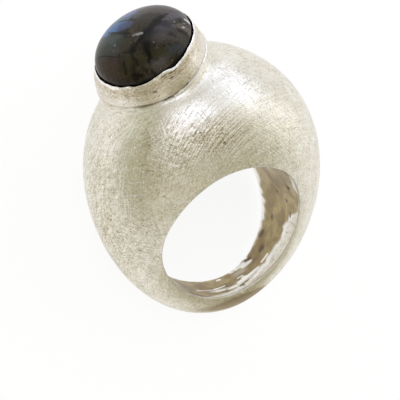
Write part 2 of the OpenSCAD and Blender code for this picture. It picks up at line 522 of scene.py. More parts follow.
for c, i in enumerate(columns):
    rows = slice(c * LOOP_ROWS, (c + 1) * LOOP_ROWS)
    along = steps_round(i) * outside_mm[i]
    from_back = along - outside_mm[i]
    from_front = loop_length[i] - along
    to_lip = np.minimum(along, from_front)
    bore_mask[rows] = (np.clip((from_front - cast_from_front[i]) / SKIN_FADE + 0.5, 0, 1)
                       * np.clip((from_back - cast_from_back[i]) / SKIN_FADE + 0.5, 0, 1))
    # Bright bands along the edges: bare metal with a painted highlight.
    bare_edge_and_highlight[rows] = (gleam_front[i] * hump(from_front - cast_from_front[i] + GLEAM_INSIDE, GLEAM_WIDTH, 4)
                       + gleam_back[i] * hump(from_back, cast_from_back[i] + 0.1, 4)
                       + LIP_GLEAM * gleam_lip[i] * hump(to_lip, LIP_WIDTH))
    edge_dirt[rows] = thin_dirt[i] * hump(to_lip, DIRT_WIDTH)
print("brown vertices:", int((bore_mask > 0.5).sum()), "bright ones:", int((bare_edge_and_highlight > 0.5).sum()))

# %% The darker groove, the bare rim with its painted highlight, and painted shade in the pocket behind the stone
WALL_MIN_R, RIM_MIN_R, POCKET_R = 6.0, 5.86, 5.875    # where wall and rim end and the pocket begins
RIM_H, RIM_FADE, POCKET_FADE = 3.36, 0.07, 0.015
GROOVE_MIDDLE, GROOVE_WIDTH = 0.02, 0.075             # over the ledge
setting_height = np.full(len(points), -9.0)
ids = np.concatenate(ring_rows[PATCH_STEPS:] + [[pole]]).astype(int)
setting_height[ids] = to_setting(points[ids])[:, 2]
# Width of the bare rim and of the painted highlight on it.
rim_width = swing(azimuth, (0, 0.12), (90, 0.15), (165, 0.34), (195, 0.30), (215, 0.16), (243, 0.12),
                  (252, 0.30), (266, 0.22), (285, 0.10), (330, 0.16))
rim_width *= 1 + 0.4 * hand(azimuth, 14, 21)
groove_depth = swing(azimuth, (0, 0.3), (90, 0.4), (180, 0.15), (214, 0.2), (226, 0.6), (238, 0.9),
                     (255, 1.0), (270, 1.0), (282, 0.7), (300, 0.3), (330, 0.2))
groove_depth *= 1 + 0.4 * hand(azimuth, 10, 22)
groove, rim, pocket = np.zeros((3, len(points)))
for ids in ring_rows[PATCH_STEPS:]:
    radius = np.hypot(*to_setting(points[ids])[:, :2].T)
    height = setting_height[ids]
    groove[ids] = groove_depth * hump(height - ledge - GROOVE_MIDDLE, GROOVE_WIDTH) * (radius > WALL_MIN_R)
    rim[ids] = np.clip((height - (RIM_H + rim_rise - rim_width)) / RIM_FADE, 0, 1) * (radius > RIM_MIN_R)
    # The pocket behind the stone gets painted shade.
    pocket[ids] = np.clip((POCKET_R - radius) / POCKET_FADE, 0, 1)
pocket[pole] = 1
print("vertices behind the stone:", int((pocket > 0.5).sum()))

# %% [markdown]
# ## Hand work on the metal
# A filed and scratch-brushed surface is never quite true. Displacement in the finish could
# fake that, but the outline would stay perfect. So the vertices themselves move: slow waves
# of a few hundredths of a millimetre outside, and ripples, pits, spots of solder and raised
# plates in the finger hole, where the casting skin is left.

# %% Outward directions, and waves along them
def normals_of(points, faces):
    """Smooth outward normals of a closed skin."""
    total = np.zeros_like(points)
    for corners in (4, 3):
        f = np.array([face for face in faces if len(face) == corners])
        n = np.cross(points[f[:, 1]] - points[f[:, 0]], points[f[:, -1]] - points[f[:, 0]])
        for k in range(corners):
            np.add.at(total, f[:, k], n)
    return total / np.maximum(np.linalg.norm(total, axis=1, keepdims=True), 1e-12)


FILED_WAVES = (0.05, 6.0, 1), (0.022, 2.6, 2)    # height, size and seed of each
CAST_RIPPLES = (0.03, 1.5, 3), (0.014, 0.55, 4)
CAST_DEPTH = 0.01                                # the casting skin lies this much lower
CALM_FROM, CALM_OVER = -0.2, 0.8                 # no waves above here; full height this far below it


def waves(p, layers):
    """Height at a place of soft waves in several sizes."""
    return sum(high * noise.noise(Vector(p) / size + Vector((seed * 3.1, -seed * 5.7, seed * 1.9)))
               for high, size, seed in layers)


faces = [tuple(int(v) for v in q) for q in quads + cap]
families = [int(f) for f in on_setting_face] + [1] * len(cap)
outward = normals_of(points, faces)
if (outward * (points - points.mean(0))).sum() < 0:
    faces = [f[::-1] for f in faces]
    outward = -outward
lift = np.zeros(len(points))
below_setting = np.clip((CALM_FROM - setting_height) / CALM_OVER, 0, 1)
for v in np.flatnonzero(below_setting):
    filed = waves(points[v], FILED_WAVES)
    cast = waves(points[v], CAST_RIPPLES) - CAST_DEPTH
    lift[v] = below_setting[v] * (filed * (1 - bore_mask[v]) + cast * bore_mask[v])
print("waves from", lift.min().round(3), "to", lift.max().round(3), "mm")

# %% Pits and raised spots in the finger hole
PITS = [  # degrees round the finger, mm along the hole, radius, depth, darkness
    (89.8, -3.3, 0.27, 0.16, 1.0), (100.7, 0.2, 0.24, 0.06, 0.45), (103.5, -2.1, 0.26, 0.08, 0.5),
    (105.0, -3.2, 0.42, 0.05, 0.35), (113.0, -2.6, 0.34, 0.05, 0.4), (125.0, 1.2, 0.3, 0.08, 0.6),
    (139.5, 2.1, 0.55, 0.06, 0.75), (149.0, 0.7, 0.5, 0.14, 0.65), (162.4, 1.1, 0.42, 0.12, 0.8),
    (134.0, 0.6, 0.9, 0.02, 0.25), (172.0, -2.1, 0.17, 0.05, 0.8), (181.5, -2.5, 0.24, 0.05, 0.8),
    (204.0, -0.9, 0.22, 0.05, 0.5), (213.0, -0.7, 0.24, 0.05, 0.4), (229.0, 0.2, 0.55, 0.03, 0.6),
    (240.0, -0.9, 0.45, 0.03, 0.6), (60.0, 2.0, 0.35, 0.1, 0.5), (38.0, -1.6, 0.28, 0.1, 0.5),
    (-20.0, 3.4, 0.4, 0.12, 0.5), (-75.0, 0.6, 0.3, 0.1, 0.5), (-112.0, -0.9, 0.34, 0.1, 0.5),
]
RAISED = [  # degrees, mm along the hole, half length round, half width, height, brightness of its bare metal and painted glint
    (172.5, -1.45, 1.35, 0.32, 0.05, 1.0), (166.0, 1.75, 0.55, 0.22, 0.1, 1.0),
    (172.5, 1.65, 0.4, 0.2, 0.1, 1.0), (179.5, 1.15, 0.24, 0.2, 0.12, 1.0),
    (192.5, 0.85, 0.22, 0.18, 0.12, 1.0), (187.0, -1.9, 0.9, 0.35, 0.04, 0.8),
    (200.0, -1.7, 1.2, 0.3, 0.03, 0.6), (176.0, 0.2, 0.9, 0.5, 0.06, 0.25),
]
PIT_REACH, PLATE_REACH = 0.6, 0.9    # how far outside the hole's radius the skin still moves
PIT_FALL = 1.6                       # a higher number makes the pits narrower
PLATE_BARE = 0.6                     # how much of its brown skin a bright plate has lost
# degrees round the finger, counted from the stone towards the fuller shoulder
degrees_round = np.degrees(np.arctan2(points[:, 0], points[:, 2]))
from_hole_axis = np.hypot(points[:, 0], points[:, 2])


def round_from(degrees):
    """Distance of every vertex from an angle, in millimetres round the finger hole."""
    return np.radians((degrees_round - degrees + 180) % 360 - 180) * HOLE_R


pit_mask = np.zeros(len(points))
for degrees, y, radius, depth, darkness in PITS:
    away = np.hypot(round_from(degrees), points[:, 1] - y) / radius
    hollow = np.exp(-away ** 2 * PIT_FALL) * (from_hole_axis < HOLE_R + PIT_REACH)
    lift -= depth * hollow
    pit_mask = np.maximum(pit_mask, darkness * hollow)
for degrees, y, long, wide, height, brightness in RAISED:
    plate = hump(round_from(degrees), long, 4) * hump(points[:, 1] - y, wide, 4)
    plate *= from_hole_axis < HOLE_R + PLATE_REACH
    lift += height * plate
    # A raised plate is bare metal with a painted glint.
    bare_edge_and_highlight = np.maximum(bare_edge_and_highlight, brightness * plate)
    bore_mask *= 1 - PLATE_BARE * brightness * plate
pit_mask = np.maximum(pit_mask, edge_dirt)
print("with pits and plates the skin moves from", lift.min().round(3), "to", lift.max().round(3), "mm")

# %% [markdown]
# Tarnish and painted shade darken the metal under the foot of the shank, painted shade runs along the ledge,
# a darker band lies under the rim, and painted shade and painted highlights fade in and out over the dome.
# Soft round stains and clean spots, each at a place on the skin, are easy to set one by one against the real
# ring.

# %% Stains, painted shade and painted highlights
STAINS_AND_PAINTED_LIGHT = [  # a place on the skin in mm, its size, and how much tarnish and painted shade darken it there, or how much painted highlight lightens it below 0
    ((-4.9, -5.6, 16.5), 1.1, 0.2), ((-5.9, -6.3, 14.7), 1.2, 0.25), ((-7.0, -6.6, 12.8), 1.3, 0.25),
    ((-6.1, -4.35, 16.7), 0.9, -0.6), ((-7.2, -5.1, 15.0), 1.0, -0.6), ((-8.3, -5.4, 13.1), 1.1, -0.5),
    ((-1.8, -5.4, 18.2), 1.0, -1.0), ((-1.1, -6.1, 17.7), 1.0, -1.0), ((0.1, -6.2, 17.7), 1.0, -0.8),
    ((0.9, -7.3, 16.3), 1.3, -0.6), ((-7.2, -2.9, -8.0), 1.2, 0.6), ((-5.8, -2.9, -8.9), 1.1, 0.9),
    ((-4.4, -3.0, -9.4), 1.1, 1.1), ((-3.2, -3.0, -9.6), 1.0, 1.1), ((-2.0, -2.9, -10.0), 1.0, 1.6),
    ((-0.7, -2.8, -10.2), 0.95, 1.7), ((0.7, -2.7, -10.35), 0.95, 1.4), ((1.8, -2.6, -10.3), 0.8, 0.9),
    ((2.2, -6.0, 17.8), 1.1, -0.9), ((2.1, -8.7, 12.9), 2.0, 0.9), ((0.0, -8.4, 13.6), 2.0, 0.5),
    ((-2.5, -7.8, 14.2), 1.8, 0.5), ((2.5, -7.1, 16.6), 1.9, -0.9), ((5.4, -7.1, 15.7), 1.9, -0.9),
    ((6.3, -7.9, 13.4), 1.6, -0.5), ((-1.2, -6.8, 16.9), 1.3, -0.7), ((-0.3, -9.0, 10.5), 2.0, -0.4),
    ((4.0, -9.0, 9.8), 1.8, -0.3), ((-12.3, -2.0, 5.5), 3.6, 0.65), ((-12.2, -1.0, -0.5), 3.0, 0.35),
    ((-9.6, -3.4, -4.6), 2.4, 0.3), ((-6.2, -3.4, -7.3), 2.4, 0.6), ((-2.7, -3.2, -9.1), 2.2, 0.5),
    ((0.6, -3.0, -9.8), 2.4, 0.45), ((-11.0, -2.4, 12.3), 2.8, 0.5), ((-7.2, -3.9, 15.4), 1.5, -0.35),
    ((-8.6, -5.6, 11.5), 1.6, -0.3),
]


def near(place, size):
    """1 on the skin at a place, dying away over the size round it."""
    return hump(np.linalg.norm(points - np.array(place), axis=1), size)


# Positive stains are tarnish and painted shade, negative ones are painted highlights.
patina = sum(strength * near(place, size) for place, size, strength in STAINS_AND_PAINTED_LIGHT)
print("stains:", len(STAINS_AND_PAINTED_LIGHT), "dullest", patina.max().round(2), "cleanest", patina.min().round(2))

# %% Bands of painted shade, painted light and darkening on the neck and the cup
# Painted shade along the ledge and round the foot of the neck, a painted light band high on the neck, and a
# darker band under the rim.
under_rim_darkening = swing(azimuth, (180, 0.5), (205, 0.9), (235, 0.9), (255, 1.3), (285, 0.8), (310, 0.2), (330, 0))
ledge_shade = swing(azimuth, (180, -0.3), (220, -0.6), (245, -0.2), (262, 0.35), (285, 0.1), (320, -0.5),
                   (340, -0.5))
neck_painted_light = swing(azimuth, (200, 0.2), (225, 0.6), (245, 0.9), (285, 0.7), (310, 0))
neck_foot_shadow = swing(azimuth, (225, 0), (238, 0.9), (262, 1.3), (285, 1.1), (300, 0.3), (320, 0))
SHADE_AND_LIGHT_BANDS = [  # how much darker round the setting, lighter below 0, height over the foot of the neck, half width
    (under_rim_darkening, 2.75 + rim_rise, 0.35), (ledge_shade, ledge + 0.40, 0.40),
    (-neck_painted_light, ledge - 0.25, 0.18), (neck_foot_shadow, 0.10, 0.17),
]
for ids in ring_rows[PATCH_STEPS:]:
    for dullness, height, half_width in SHADE_AND_LIGHT_BANDS:
        patina[ids] += dullness * hump(setting_height[ids] - height, half_width)
CUP_FROM, CUP_FADE = 0.8, 0.1
cup_mask = np.clip((setting_height - CUP_FROM) / CUP_FADE, 0, 1)
print("dullest on the cup:", patina[cup_mask > 0].max().round(2))

# %% [markdown]
# The wheel bit deeper high on the dome than down on the thin shank, and low in front all its
# strokes run one way. Two slopes and a few round spots say so, and unlike a painted mask they
# can be read and corrected.

# %% How coarse the scratches are, and where one direction rules
COARSE_UP = [-10, -5, 4, 12], [0.28, 0.55, 0.85, 1.0]    # finer down the shank, by height
COARSE_OUT = [7, 12], [1.0, 0.75]                        # and out on the fuller shoulder
COARSE_SPOTS = [  # place, size, and how much coarser
    ((-10.0, -4.0, 11.0), 4.0, -0.3), ((-4.0, -7.0, 13.5), 3.0, 0.2), ((7.0, -4.5, 15.5), 4.0, -0.35),
]
NECK_R, NECK_SPREAD, NECK_SMOOTH = 6.9, 1.2, 0.5         # smoother metal round the neck
DIAGONAL_AT, DIAGONAL_SIZE = (2.6, -8.2, 13.9), 4.6
coarse = np.interp(points[:, 2], *COARSE_UP) * np.interp(points[:, 0], *COARSE_OUT)
for place, size, change in COARSE_SPOTS:
    coarse *= 1 + change * near(place, size)
x, y, z = to_setting(points).T
coarse *= 1 - NECK_SMOOTH * hump(np.hypot(x, y) - NECK_R, NECK_SPREAD) * (z > -3) * (z < 1)
diagonal = near(DIAGONAL_AT, DIAGONAL_SIZE)
print("coarseness from", coarse.min().round(2), "to", coarse.max().round(2))

# %% [markdown]
# Everything about the silver is now in arrays, so one function can turn it into a mesh: the
# points laid down, the map on its own UV layer, and one attribute for each value.

# %% Build the silver
def build_piece(name, points, faces, families, maps, period, fields):
    """maps holds one map for each family of faces; a map wraps round after its period."""
    mesh = bpy.data.meshes.new(name)
    mesh.from_pydata(lay_down(points).tolist(), [], faces)
    uv = np.empty((len(mesh.loops), 2))
    n = 0
    for face, family in zip(faces, families):
        corner = maps[family][list(face)].copy()
        far = corner[:, 0] - corner[0, 0]
        corner[:, 0] -= np.round(far / period[family]) * period[family]
        uv[n:n + len(face)] = corner
        n += len(face)
    layer = mesh.uv_layers.new(name="millimetres")
    layer.uv.foreach_set("vector", uv.astype(np.float32).ravel())
    for field, values in fields.items():
        mesh.attributes.new(field, "FLOAT", "POINT").data.foreach_set("value", np.asarray(values, np.float32))
    mesh.polygons.foreach_set("use_smooth", [True] * len(mesh.polygons))
    mesh.update()
    piece = bpy.data.objects.new(name, mesh)
    bpy.context.scene.collection.objects.link(piece)
    return piece


def volume(piece):
    mesh = piece.data
    mesh.calc_loop_triangles()
    co = np.empty(len(mesh.vertices) * 3)
    mesh.vertices.foreach_get("co", co)
    tri = np.empty(len(mesh.loop_triangles) * 3, int)
    mesh.loop_triangles.foreach_get("vertices", tri)
    a, b, c = np.moveaxis(co.reshape(-1, 3)[tri.reshape(-1, 3)], 1, 0)
    return float(np.einsum("ij,ij->i", a, np.cross(b, c)).sum() / 6)


points = points + outward * lift[:, None]
skin = build_piece(
    "ring_silver", points, faces, families, (dome_map, setting_map),
    (2 * np.pi * MAP_R, 2 * np.pi * SETTING_MAP_R), {
        "bore": bore_mask, "edge": bare_edge_and_highlight, "pit": pit_mask, "patina": patina, "diagonal": diagonal,
        "cup": cup_mask, "groove": groove, "rim": rim, "pocket": pocket, "coarse": coarse})
print("silver:", len(skin.data.polygons), "faces,", round(volume(skin) * 1e9), "cubic mm")

# %% [markdown]
# ## Wires
# Both kinds of node tree, for shapes and for finishes, are mostly sums. Placing every Math
# node by hand would hide them in a long list, so a small class holds the end of a wire, and
# adding or multiplying two ends places the node.

# %% A small class for node trees
class Wire:
    """One output socket in a node tree, with the usual operators."""

    def __init__(self, tree, socket=None):
        self.tree, self.socket = tree, socket

    def node(self, kind, settings=None, inputs=None, output=0):
        """Any node: its type, its settings, what its sockets get, and which output to hold."""
        node = self.tree.nodes.new(kind)
        for name, value in (settings or {}).items():
            setattr(node, name, value)
        for key, value in (inputs or {}).items():
            if isinstance(value, Wire):
                self.tree.links.new(value.socket, node.inputs[key])
            else:
                node.inputs[key].default_value = value
        return Wire(self.tree, node.outputs[output])

    def maths(self, operation, *values):
        return self.node("ShaderNodeMath", {"operation": operation}, dict(enumerate(values)))

    def __add__(self, other):
        return self.maths("ADD", self, other)

    def __radd__(self, other):
        return self.maths("ADD", other, self)

    def __sub__(self, other):
        return self.maths("SUBTRACT", self, other)

    def __rsub__(self, other):
        return self.maths("SUBTRACT", other, self)

    def __mul__(self, other):
        return self.maths("MULTIPLY", self, other)

    def __rmul__(self, other):
        return self.maths("MULTIPLY", other, self)

    def __truediv__(self, other):
        return self.maths("DIVIDE", self, other)

    def __pow__(self, other):
        return self.maths("POWER", self, other)

    def between(self, low, high):
        """0 below low, 1 above high, and a soft step in between."""
        return self.node("ShaderNodeMapRange", {"interpolation_type": "SMOOTHSTEP"},
                         {0: self, 1: low, 2: high})

    def larger(self, other):
        return self.maths("MAXIMUM", self, other)

    def clamp(self):
        return self.node("ShaderNodeClamp", {}, {"Value": self})

    def blend(self, a, b):
        """Colour a where this wire is 0 and colour b where it is 1."""
        a, b = ((*c, 1) if isinstance(c, tuple) else c for c in (a, b))
        return self.node("ShaderNodeMix", {"data_type": "RGBA"}, {0: self, 6: a, 7: b}, 2)

    def xyz(self):
        return [self.node("ShaderNodeSeparateXYZ", {}, {0: self}, i) for i in range(3)]

    def join(self, x, y, z):
        return self.node("ShaderNodeCombineXYZ", {}, {0: x, 1: y, 2: z})

    def vector(self, operation, *values, output=0):
        return self.node("ShaderNodeVectorMath", {"operation": operation}, dict(enumerate(values)), output)

    def scaled(self, factor):
        """A vector, longer or shorter by a factor."""
        return self.node("ShaderNodeVectorMath", {"operation": "SCALE"}, {0: self, 3: factor})

    def stroke(self, place, start, end, half_width, soft=0.5):
        """1 within half_width of the line from start to end, fading to 0 outside."""
        start, end = np.array(start, float), np.array(end, float)
        along = end - start
        away = self.vector("SUBTRACT", place, tuple(start))
        share = self.vector("DOT_PRODUCT", away, tuple(along / max(along @ along, 1e-9)), output=1)
        nearest = self.node("ShaderNodeVectorMath", {"operation": "SCALE"},
                            {0: tuple(along), 3: share.clamp()})
        distance = self.vector("DISTANCE", away, nearest, output=1)
        return 1 - distance.between(half_width * (1 - soft), half_width * (1 + soft))

    def speckle(self, place, size, detail=2.0, rough=0.5, warp=0.0):
        """Noise of about the given size, in the units of place, from 0 to 1."""
        return self.node("ShaderNodeTexNoise", {}, {
            "Vector": place, "Scale": 1 / size, "Detail": detail, "Roughness": rough, "Distortion": warp})

    def dots(self, place, scale, low, high):
        """Scattered dots: 1 in a dot and 0 between, and a random share that tells them apart."""
        inputs = {"Vector": place, "Scale": scale}
        distance = self.node("ShaderNodeTexVoronoi", {}, inputs)
        kind = self.node("ShaderNodeTexVoronoi", {}, inputs, 1).xyz()[0]
        return 1 - distance.between(low, high), kind

    def feed(self, shader, socket):
        self.tree.links.new(self.socket, shader.inputs[socket])


def new_finish(name):
    """A new finish, a wire to build its tree with, and its shader."""
    finish = bpy.data.materials.new(name)
    finish.use_nodes = True
    return finish, Wire(finish.node_tree), finish.node_tree.nodes["Principled BSDF"]


print("wires can:", ", ".join(name for name in vars(Wire) if not name.startswith("_")))

# %% [markdown]
# ## The stone
# A cabochon is a low dome over a flat base, cut round and without facets. A sculpted ball
# would need care to stay round. The shape follows one rule all the way round, so Geometry
# Nodes make it from a ball: above the girdle the ball becomes the crown, and below it a
# straight side and a flat base.

# %% A node tree that turns a ball into a cabochon
STONE_SIZES = {"girdle radius": 5.76, "crown height": 2.95, "base depth": 1.95}
SIDE_FULLNESS, BASE_FLATNESS = 1.28, 1.6
stone_tree = bpy.data.node_groups.new("cabochon", "GeometryNodeTree")
for name in STONE_SIZES:
    stone_tree.interface.new_socket(name, in_out="INPUT", socket_type="NodeSocketFloat")
stone_tree.interface.new_socket("stone", in_out="OUTPUT", socket_type="NodeSocketGeometry")
inlet = stone_tree.nodes.new("NodeGroupInput")
outlet = stone_tree.nodes.new("NodeGroupOutput")
girdle, crown, base = (Wire(stone_tree, inlet.outputs[name]) for name in STONE_SIZES)
g = Wire(stone_tree)
ball = g.node("GeometryNodeMeshUVSphere", {}, {"Segments": 160, "Rings": 96, "Radius": 1.0})
x, y, z = g.node("GeometryNodeInputPosition").xyz()
from_axis = (x * x + y * y) ** 0.5
is_crown = z.maths("GREATER_THAN", z, 0.0)
side = is_crown * from_axis + (1 - is_crown) * (from_axis * SIDE_FULLNESS).clamp()
stretch = side / (from_axis + 1e-6)
depth = (0 - z).clamp() * BASE_FLATNESS
height = is_crown * (z.clamp() * crown) - (1 - is_crown) * (depth.clamp() * base)
placed = g.node("GeometryNodeSetPosition", {}, {
    "Geometry": ball, "Position": g.join(x * stretch * girdle, y * stretch * girdle, height)})
real = g.node("GeometryNodeRealizeInstances", {}, {"Geometry": placed})
stone_finish, s_wire, s_shader = new_finish("dark_flashing_stone")
dressed = g.node("GeometryNodeSetMaterial", {}, {"Geometry": real, "Material": stone_finish})
stone_tree.links.new(dressed.socket, outlet.inputs[0])
print("nodes in the stone's tree:", len(stone_tree.nodes))

# %% [markdown]
# The ball is only a start, and the modifier has done its work once the cabochon is there. So
# the result is copied to a plain mesh and the maker is removed. Then each point of it is
# moved into the cup. Moving the object instead would carry the stone's pattern along.

# %% The stone as a plain mesh, set in its cup
holder = bpy.data.objects.new("stone_maker", bpy.data.meshes.new("stone_maker"))
bpy.context.scene.collection.objects.link(holder)
maker = holder.modifiers.new("cabochon", "NODES")
maker.node_group = stone_tree
for item in stone_tree.interface.items_tree:
    if item.in_out == "INPUT":
        maker[item.identifier] = STONE_SIZES[item.name]
stone_mesh = bpy.data.meshes.new_from_object(holder.evaluated_get(bpy.context.evaluated_depsgraph_get()))
bpy.data.objects.remove(holder)
co = np.empty(len(stone_mesh.vertices) * 3)
stone_mesh.vertices.foreach_get("co", co)
co = lay_down((co.reshape(-1, 3) + [0, 0, SETTING_H]) @ SETTING.T + FOOT)
stone_mesh.vertices.foreach_set("co", co.ravel())
stone_mesh.polygons.foreach_set("use_smooth", [True] * len(stone_mesh.polygons))
stone_mesh.update()
cabochon = bpy.data.objects.new("cabochon", stone_mesh)
bpy.context.scene.collection.objects.link(cabochon)
print("stone:", len(stone_mesh.polygons), "faces,", round(volume(cabochon) * 1e9), "cubic mm")

# %% [markdown]
# ## Scratch-brushed silver
# The outside was rubbed with a coarse wheel in every direction. It is a bright metal with a broad sheen, and
# hundreds of short scratches cross on it. An image of brushed metal would repeat and stretch over the dome.
# So each family of scratches is noise on the millimetre map, turned to one angle and drawn out along it, and
# the colour paints shade into its hollows and light onto its ridges.

# %% Scratches on the millimetre map
silver, w, metal = new_finish("brushed_silver")
on_map = w.node("ShaderNodeUVMap", {"uv_map": "millimetres"})
OBJECT_PLACE = 3    # output of Texture Coordinate that gives Object coordinates
millimetres = w.node("ShaderNodeTexCoord", {}, {}, OBJECT_PLACE).scaled(1 / MM)


def scratches(degrees, length, width, seed, low, high):
    """Fine lines at an angle on the map: 1 in a scratch, 0 between. They drift a little."""
    turned = w.node("ShaderNodeMapping", {}, {
        "Vector": on_map, "Location": (seed * 13.7, seed * 5.1, seed),
        "Rotation": (0, 0, math.radians(degrees))})
    drift = w.speckle(turned, 9.0, 1.0)
    u, v, _ = turned.xyz()
    line = w.join(u / length, (v + drift * 0.3) / width, 0.37 * seed)
    return w.speckle(line, 1.0, 2.0, 0.5).between(low, high)


def field(name):
    return w.node("ShaderNodeAttribute", {"attribute_name": name}, {}, 2)


def mixed(a, b, share):
    return a + (b - a) * share


def shifted(amount):
    """The same place for another seed of noise."""
    return w.vector("ADD", millimetres, (amount, -amount, amount * 0.7))


patch = w.speckle(shifted(11), 3.5, 1.0).between(0.35, 0.65)
diagonal_at, cup_at = field("diagonal"), field("cup")
slash = scratches(-25, 2.8, 0.17, 1, 0.30, 0.70) - 0.5
level = scratches(17, 2.4, 0.16, 2, 0.30, 0.70) - 0.5
cross = scratches(-71, 2.2, 0.16, 3, 0.30, 0.70) - 0.5
steep = scratches(60, 2.4, 0.16, 4, 0.30, 0.70) - 0.5
round_lines = scratches(2, 4.0, 0.15, 5, 0.34, 0.66) - 0.5
others = (0.42 - 0.30 * diagonal_at) * (1 - 0.6 * cup_at)
woven = (slash * (0.22 + 0.30 * patch + 0.45 * diagonal_at) * (1 - cup_at)
         + (level + cross * (1 - patch) + steep * patch) * others)
lit = 0.5 + woven + 0.5 * cup_at * round_lines
# Long scratches whose ridges catch the light: painted glints.
glinting_cuts = scratches(-24, 6.0, 0.16, 6, 0.70, 0.76) + scratches(48, 5.0, 0.16, 7, 0.71, 0.77)
dark_cuts = scratches(-33, 1.4, 0.14, 8, 0.62, 0.74).larger(scratches(77, 1.2, 0.13, 9, 0.63, 0.75))
print("nodes that draw scratches:", len(silver.node_tree.nodes))

# %% [markdown]
# A few marks can be told apart on the real ring: pits, cuts and dirt, and small bright plates low in the
# finger hole. The bright marks are painted glints. Each is a short stroke from one place to another, so it
# can be moved by its numbers, without painting an image.

# %% Single marks on the silver: from, to, half width
HOLE_MARK_R = 8.72    # just under the skin of the finger hole, in millimetres


def laid_mm(*place):
    return tuple(float(v) for v in lay_down(np.array([place], float))[0] / MM)


def in_hole(degrees, y):
    a = math.radians(degrees)
    return laid_mm(HOLE_MARK_R * math.sin(a), y, HOLE_MARK_R * math.cos(a))


def marks(rows):
    return [(laid_mm(*a), laid_mm(*b), wide) for a, b, wide in rows]


def hole_marks(rows):
    """Marks from one angle to another round the hole, at y along it."""
    return [(in_hole(a, y), in_hole(b, y), wide) for a, b, y, wide in rows]


FLAWS = marks([  # pits in the dome, dents and dirt on the neck and the cup, then in the finger hole
    ((-0.21, -8.14, 14.42), (-0.2, -8.14, 14.4), 0.13), ((1.69, -8.8, 12.27), (1.7, -8.8, 12.25), 0.15),
    ((-0.75, -8.04, 14.56), (-0.8, -8.02, 14.6), 0.1),
    ((-1.18, -5.43, 21.08), (-0.67, -5.53, 21.2), 0.07), ((-0.23, -5.59, 21.11), (0.1, -5.6, 21.1), 0.08),
    ((0.25, -5.63, 21.11), (0.7, -5.59, 21.23), 0.06),
    ((-0.35, -5.66, 20.57), (0.03, -5.68, 20.61), 0.09),
    ((-2.54, -5.13, 19.84), (-2.22, -5.26, 19.83), 0.11),
    ((-2.1, -5.33, 19.28), (-2.23, -5.28, 19.21), 0.05),
    ((-1.29, -5.49, 18.62), (-0.76, -5.6, 18.49), 0.1), ((1.11, -5.56, 18.97), (1.3, -5.56, 19.1), 0.12),
    ((1.71, -5.57, 19.53), (1.6, -5.57, 19.5), 0.06), ((-4.94, -3.19, 19.4), (-4.9, -3.22, 19.38), 0.05),
    ((-5.73, -1.8, 19.9), (-5.7, -1.85, 19.9), 0.05), ((-6.82, 1.12, -5.43), (-6.43, -0.76, -5.85), 0.2),
    ((-6.43, -0.76, -5.85), (-5.6, -1.25, -6.66), 0.14), ((2.19, 1.64, -8.44), (1.6, 1.8, -8.55), 0.2),
    ((-0.6, -2.3, -8.72), (-0.2, -2.2, -8.72), 0.16), ((0.2, -2.0, -8.72), (0.4, -2.05, -8.7), 0.11),
    ((-2.93, -1.01, -8.21), (-2.8, -0.9, -8.24), 0.12),
    ((-1.95, -0.79, -8.48), (-1.85, -1.05, -8.5), 0.13),
    ((0.1, -0.85, -8.72), (-0.2, -1.05, -8.71), 0.09),
]) + hole_marks([
    (89.6, 90.2, -3.15, 0.28), (100.5, 101.0, 0.3, 0.16), (104.0, 104.5, -1.9, 0.2),
    (123.0, 124.5, 1.3, 0.2), (149.5, 151.5, 0.6, 0.3), (139.0, 142.5, 2.2, 0.28),
    (113.0, 115.0, -2.8, 0.16), (60.0, 61.0, 2.0, 0.2),
])
PAINTED_GLINTS = marks([  # painted glints on a long cut on the dome, on bare spots on the cup and the neck, then in the hole
    ((-6.06, -6.69, 13.9), (-5.1, -7.4, 13.1), 0.09), ((-5.1, -7.4, 13.1), (-3.92, -8.15, 12.15), 0.09),
    ((-5.1, -2.85, 18.45), (-4.81, -3.37, 18.36), 0.16),
    ((-4.5, -3.75, 18.25), (-4.17, -4.1, 18.15), 0.14), ((-2.1, -5.4, 19.05), (-0.9, -5.75, 18.95), 0.05),
    ((1.58, -5.58, 19.22), (1.6, -5.58, 19.2), 0.1), ((-5.3, -1.3, -6.9), (-3.0, -1.05, -8.18), 0.13),
    ((-3.0, -1.05, -8.18), (-1.95, -0.85, -8.48), 0.12), ((0.5, -1.05, -8.7), (1.65, -2.1, -8.54), 0.3),
    ((-1.5, -2.85, -8.66), (-1.4, -2.95, -8.74), 0.17),
    ((-0.99, -3.07, -8.93), (-0.92, -3.0, -8.86), 0.17),
]) + hole_marks([
    (175.5, 168.5, 1.35, 0.32), (170.0, 163.5, 0.85, 0.32), (163.0, 166.0, 1.75, 0.12),
    (179.5, 180.5, 1.4, 0.2), (192.0, 193.4, 0.85, 0.18), (164.5, 173.0, -1.5, 0.34),
    (172.0, 182.0, -1.5, 0.32), (176.0, 180.5, -0.55, 0.1), (186.0, 193.0, -1.95, 0.14),
    (196.0, 203.0, -1.75, 0.12), (151.0, 158.0, -1.05, 0.16),
])
print("dark marks:", len(FLAWS), "bright marks:", len(PAINTED_GLINTS))

# %% [markdown]
# The finish is built up in layers: first the metal, with painted shade in the hollows of the scratches and
# painted light on their ridges, and warmer where tarnish and painted shade lie, then dark cuts, painted
# glints on cuts, pores, and brown tarnish with painted shadow over it. The mix of two colours by a mask is
# all it takes, and each layer hides a little of the last.

# %% Colour of the brushed metal
# Shaded and lit tones of the scratches, each also in a duller form: painted shade and painted light.
SHADED_TONE, SHADED_TONE_DULL = (0.74, 0.71, 0.60), (0.36, 0.31, 0.20)
LIT_TONE, LIT_TONE_DULL = (1.0, 0.99, 0.96), (0.90, 0.85, 0.70)
CUT_DARK, CUT_GLINT = (0.30, 0.26, 0.20), (0.99, 0.98, 0.96)
PORE, TARNISH_AND_SHADOW = (0.16, 0.13, 0.10), (0.26, 0.20, 0.105)
